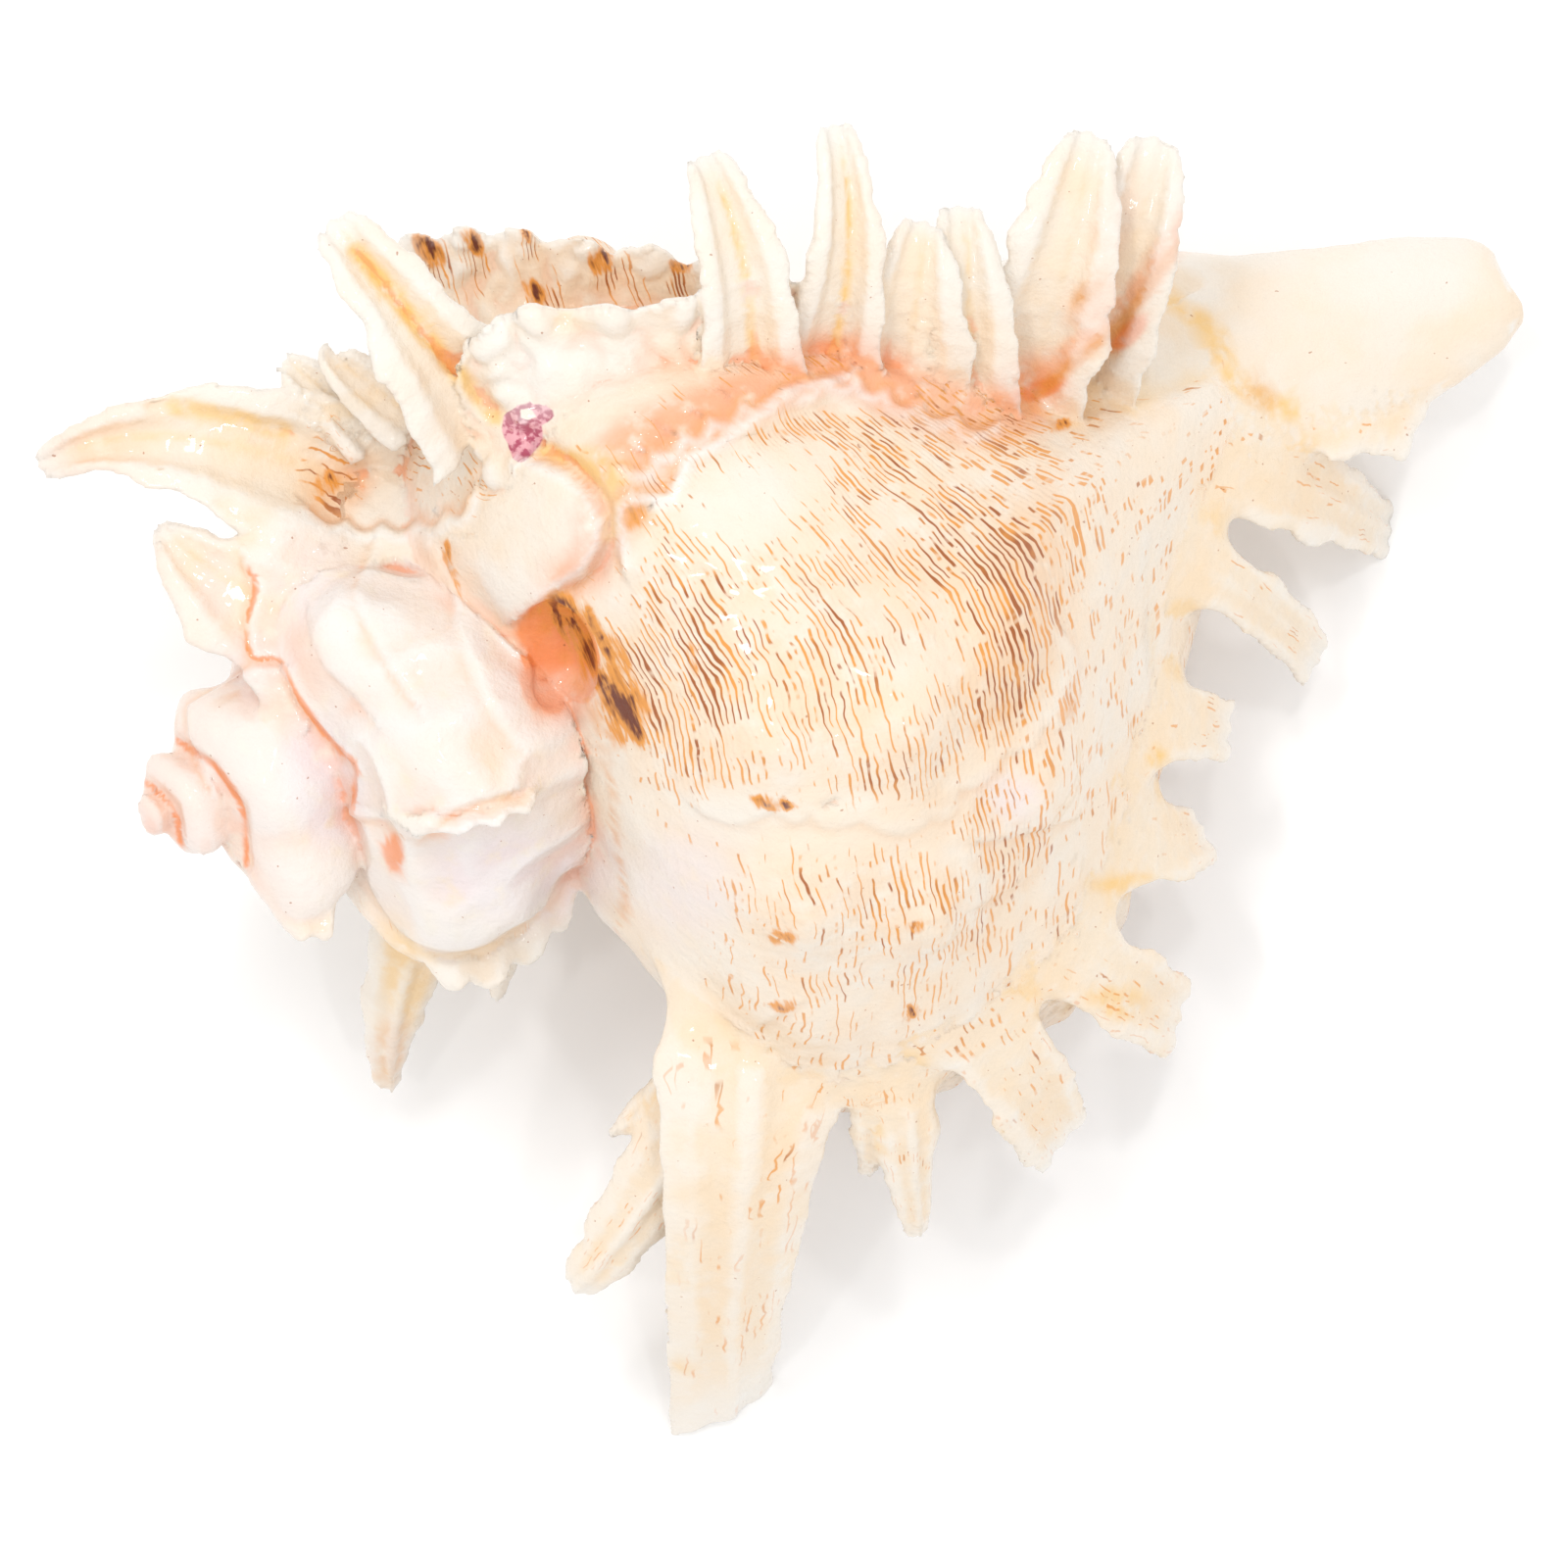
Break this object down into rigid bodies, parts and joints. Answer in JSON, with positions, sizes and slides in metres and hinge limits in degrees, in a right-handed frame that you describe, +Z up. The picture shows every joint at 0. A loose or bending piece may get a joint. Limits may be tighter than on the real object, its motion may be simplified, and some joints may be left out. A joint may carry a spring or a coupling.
{
  "type": "branched murex shell",
  "caption": "Whole branched (ramose) murex shell lying on its mouth side: spire, body whorl, varices with channelled fronds, toothed outer lip and a long flat siphonal canal.",
  "frame": {"origin": "middle of the shell's bounding box, on the ground that it rests on", "axes": "+Z up, out of the shell's back; +X along the shell's length, from the apex to the canal; +Y towards the side of the last varix but one, away from the outer lip"},
  "size_m": [0.1816, 0.1606, 0.0935],
  "materials": {
    "shell": "glossy natural shell, cream with brown dashes, pink and orange at the sutures"
  },
  "bodies": {
    "root": {"shell": "shell"}
  },
  "joints": []
}
